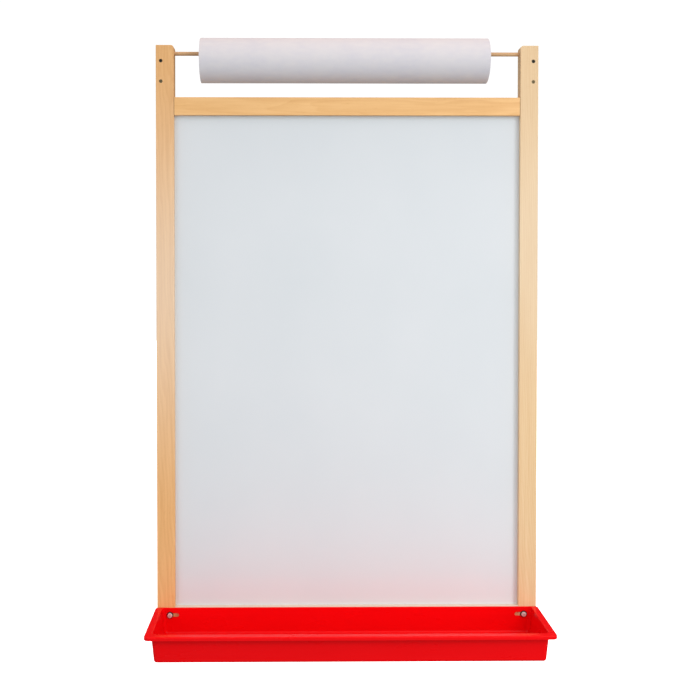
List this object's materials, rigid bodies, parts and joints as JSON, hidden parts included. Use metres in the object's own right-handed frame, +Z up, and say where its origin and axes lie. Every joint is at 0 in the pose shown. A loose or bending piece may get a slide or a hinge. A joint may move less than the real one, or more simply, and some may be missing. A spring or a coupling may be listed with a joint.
{
  "type": "wall board easel",
  "caption": "Wall-hung wooden board easel with a glossy dry-erase panel, a paper roll on a sliding dowel and a moulded paint tray across the foot.",
  "frame": {"origin": "on the wall plane, midway between the round holes of the two keyhole hanger plates", "axes": "+X to the viewer's right, +Y into the wall, +Z up; the board faces -Y"},
  "size_m": [0.6144, 0.1746, 0.9558],
  "materials": {
    "frame_maple": "clear satin lacquer on planed maple",
    "block_maple": "sanded, unlacquered",
    "dowel_birch": "turned and sanded",
    "pin_beech": "fluted stock, hidden",
    "dry_erase_sheet": "high gloss white melamine",
    "hardboard": "pressed, screen-textured back",
    "roll_paper": "uncoated white",
    "core_board": "spiral-wound kraft",
    "red_moulding": "glossy injection moulding",
    "pan_screw_steel": "bright zinc plate",
    "washer_steel": "dull zinc plate",
    "zinc_steel": "zinc plate",
    "dark_screw_steel": "black oxide",
    "bumper_rubber": "moulded"
  },
  "bodies": {
    "frame": {"left_stile": "frame_maple", "right_stile": "frame_maple", "top_rail": "frame_maple", "bottom_rail": "frame_maple", "top_rail_pins": "pin_beech", "bottom_rail_pins": "pin_beech", "dry_erase_face": "dry_erase_sheet", "hardboard_core": "hardboard", "left_standoff_block": "block_maple", "right_standoff_block": "block_maple", "standoff_screws": "dark_screw_steel", "left_hanger_plate": "zinc_steel", "right_hanger_plate": "zinc_steel", "hanger_plate_screws": "zinc_steel", "left_spacer_block": "block_maple", "right_spacer_block": "block_maple", "spacer_screws": "zinc_steel", "wall_bumpers": "bumper_rubber", "paint_tray": "red_moulding", "tray_washers": "washer_steel", "tray_screws": "pan_screw_steel"},
    "dowel": {"roll_dowel": "dowel_birch"},
    "roll": {"roll_core": "core_board", "paper_roll": "roll_paper"}
  },
  "joints": [
    {"name": "dowel_slide", "type": "slide", "parent": "frame", "child": "dowel", "axis": [1, 0, 0], "range_m": [0, 0.0095]},
    {"name": "roll_spin", "type": "hinge", "parent": "dowel", "child": "roll", "pos_m": [-0.005, -0.0476, 0.01922], "axis": [1, 0, 0], "continuous": true}
  ]
}
